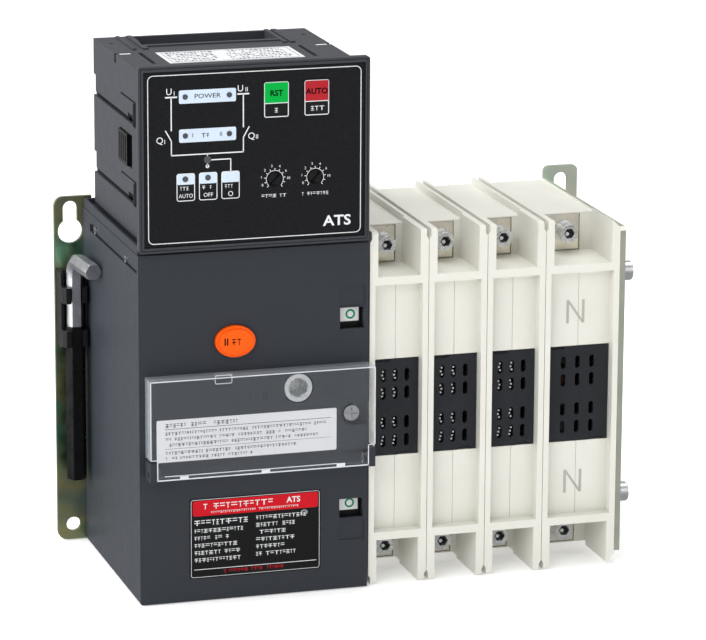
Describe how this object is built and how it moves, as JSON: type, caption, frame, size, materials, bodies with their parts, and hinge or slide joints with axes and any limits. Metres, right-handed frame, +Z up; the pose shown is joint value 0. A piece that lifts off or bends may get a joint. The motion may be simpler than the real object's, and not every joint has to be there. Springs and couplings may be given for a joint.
{
  "type": "automatic transfer switch",
  "caption": "Motor-driven changeover switch: grey drive housing with plug-on controller, clear flap, trip button and hex key, beside a row of ivory poles with screw terminals.",
  "frame": {"origin": "centre of the bounding box in X and Y, at the bottom of the housing in Z", "axes": "+X to the right seen from the front, +Y to the back, towards the mounting panel, +Z up"},
  "size_m": [0.294, 0.1374, 0.281],
  "materials": {
    "housing_slate": "satin dark slate-grey moulding",
    "case_slate": "fine-grained dark grey moulding",
    "moulded_black": "black moulding",
    "sleeve_black": "glossy black sleeve",
    "pole_ivory": "warm white insulating moulding",
    "vent_slate": "dark grey moulding",
    "zinc_yellow": "steel sheet with iridescent yellow-green zinc",
    "zinc_clear": "steel sheet with pale clear zinc",
    "bright_steel": "nickel or zinc plated steel",
    "chute_steel": "bright arc-splitting steel plates",
    "plated_copper": "tin plated copper",
    "bare_copper": "bare copper",
    "coil_winding": "taped enamelled winding",
    "button_orange": "glossy orange",
    "flag_white": "printed white",
    "clear_plastic": "clear moulded polycarbonate",
    "panel_black": "printed black face sheet",
    "dial_black": "black",
    "key_green": "green and black key",
    "key_red": "red and black key",
    "board_green": "circuit board"
  },
  "bodies": {
    "mechanism": {"mechanism_housing": "housing_slate", "left_side_plate": "zinc_yellow", "right_side_plate": "zinc_clear", "tie_bolt_upper": "bright_steel", "tie_bolt_lower": "bright_steel", "solenoid_coil": "coil_winding", "controller_case": "case_slate", "controller_panel": "panel_black", "controller_board": "board_green", "key_clip": "moulded_black", "pole_casing_1": "pole_ivory", "vent_cover_1": "vent_slate", "upper_terminal_1": "plated_copper", "lower_terminal_1": "plated_copper", "load_terminal_1": "plated_copper", "upper_screw_1": "bright_steel", "lower_screw_1": "bright_steel", "arc_chute_1": "chute_steel", "pole_casing_2": "pole_ivory", "vent_cover_2": "vent_slate", "upper_terminal_2": "plated_copper", "lower_terminal_2": "plated_copper", "load_terminal_2": "plated_copper", "upper_screw_2": "bright_steel", "lower_screw_2": "bright_steel", "arc_chute_2": "chute_steel", "pole_casing_3": "pole_ivory", "vent_cover_3": "vent_slate", "upper_terminal_3": "plated_copper", "lower_terminal_3": "plated_copper", "load_terminal_3": "plated_copper", "upper_screw_3": "bright_steel", "lower_screw_3": "bright_steel", "arc_chute_3": "chute_steel", "pole_casing_4": "pole_ivory", "vent_cover_4": "vent_slate", "upper_terminal_4": "plated_copper", "lower_terminal_4": "plated_copper", "load_terminal_4": "plated_copper", "upper_screw_4": "bright_steel", "lower_screw_4": "bright_steel", "arc_chute_4": "chute_steel"},
    "drive": {"drive_shaft": "bright_steel"},
    "contact_bar": {"contact_shaft": "moulded_black", "moving_contact_1": "bare_copper", "moving_contact_2": "bare_copper", "moving_contact_3": "bare_copper", "moving_contact_4": "bare_copper"},
    "indicator": {"indicator_slide": "flag_white"},
    "button": {"trip_button": "button_orange"},
    "flap": {"flap_cover": "clear_plastic"},
    "lock": {"lock_screw": "bright_steel"},
    "plunger": {"solenoid_plunger": "bright_steel"},
    "reset": {"reset_key": "key_green"},
    "auto": {"auto_key": "key_red"},
    "dial_left": {"delay_dial_left": "dial_black"},
    "dial_right": {"delay_dial_right": "dial_black"},
    "catch": {"controller_catch": "moulded_black"},
    "key": {"hex_key": "bright_steel", "hex_key_sleeve": "sleeve_black"}
  },
  "joints": [
    {"name": "drive_turn", "type": "hinge", "parent": "mechanism", "child": "drive", "pos_m": [-0.04975, -0.0571, 0.1115], "axis": [0, 1, 0], "range_deg": [-90, 90]},
    {"name": "contact_turn", "type": "hinge", "parent": "mechanism", "child": "contact_bar", "pos_m": [-0.03045, 0.0009, 0.09425], "axis": [1, 0, 0], "range_deg": [-24.3, 24.3]},
    {"name": "indicator_move", "type": "slide", "parent": "mechanism", "child": "indicator", "axis": [0, 0, 1], "range_m": [-0.0114, 0.0114]},
    {"name": "flap_open", "type": "hinge", "parent": "mechanism", "child": "flap", "pos_m": [-0.07045, -0.0643, 0.0715], "axis": [1, 0, 0], "range_deg": [0, 120]},
    {"name": "button_press", "type": "slide", "parent": "mechanism", "child": "button", "axis": [0, 1, 0], "range_m": [0, 0.003], "stiffness_N_per_m": 400, "springref_m": -0.002},
    {"name": "lock_turn", "type": "hinge", "parent": "mechanism", "child": "lock", "pos_m": [-0.02095, -0.0571, 0.0957], "axis": [0, 1, 0], "range_deg": [0, 90]},
    {"name": "plunger_pull", "type": "slide", "parent": "mechanism", "child": "plunger", "axis": [0, 0, -1], "range_m": [0, 0.008], "stiffness_N_per_m": 300, "springref_m": -0.004},
    {"name": "reset_press", "type": "slide", "parent": "mechanism", "child": "reset", "axis": [0, 1, 0], "range_m": [0, 0.0005], "stiffness_N_per_m": 1500, "springref_m": -0.0005},
    {"name": "auto_press", "type": "slide", "parent": "mechanism", "child": "auto", "axis": [0, 1, 0], "range_m": [0, 0.0005], "stiffness_N_per_m": 1500, "springref_m": -0.0005},
    {"name": "dial_left_turn", "type": "hinge", "parent": "mechanism", "child": "dial_left", "pos_m": [-0.06115, -0.0571, 0.2204], "axis": [0, 1, 0], "range_deg": [-135, 135]},
    {"name": "dial_right_turn", "type": "hinge", "parent": "mechanism", "child": "dial_right", "pos_m": [-0.03995, -0.0571, 0.2204], "axis": [0, 1, 0], "range_deg": [-135, 135]},
    {"name": "catch_slide", "type": "slide", "parent": "mechanism", "child": "catch", "axis": [0, -1, 0], "range_m": [0, 0.0055], "stiffness_N_per_m": 300, "springref_m": -0.002},
    {"name": "key_lift", "type": "slide", "parent": "mechanism", "child": "key", "axis": [0, 0, 1], "range_m": [0, 0.09]}
  ],
  "couplings": [
    {"joint": "contact_turn", "follows": "drive_turn", "ratio": -0.27},
    {"joint": "indicator_move", "follows": "drive_turn", "m_per_rad": 0.007257}
  ]
}
